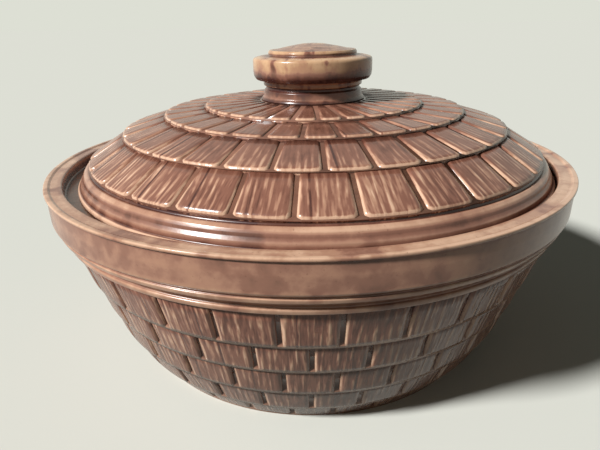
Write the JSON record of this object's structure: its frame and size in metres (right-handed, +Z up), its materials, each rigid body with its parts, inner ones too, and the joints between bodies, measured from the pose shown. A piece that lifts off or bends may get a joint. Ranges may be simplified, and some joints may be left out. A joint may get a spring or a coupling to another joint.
{
  "type": "bean pot",
  "caption": "Round stoneware bean pot with shingle relief, a turned rim with an inner gallery, and a domed lift-off lid with a knob.",
  "frame": {"origin": "centre of the flat base, at the level that the pot stands on", "axes": "+Z up along the pot's turning axis, -Y towards the front, +X to the right; the lid leans against the rim on the +X side"},
  "size_m": [0.236, 0.236, 0.1377],
  "materials": {
    "pot_glaze": "glossy brown glaze that breaks light on raised edges",
    "lid_glaze": "glossy brown glaze that breaks light on raised edges",
    "knob_glaze": "glossy brown glaze, tan where it runs thin"
  },
  "bodies": {
    "pot": {"pot": "pot_glaze"},
    "lid": {"lid": "lid_glaze", "knob": "knob_glaze"}
  },
  "joints": [
    {"name": "lid_lift", "type": "slide", "parent": "pot", "child": "lid", "axis": [0, 0, 1], "range_m": [0, 0.12]}
  ]
}
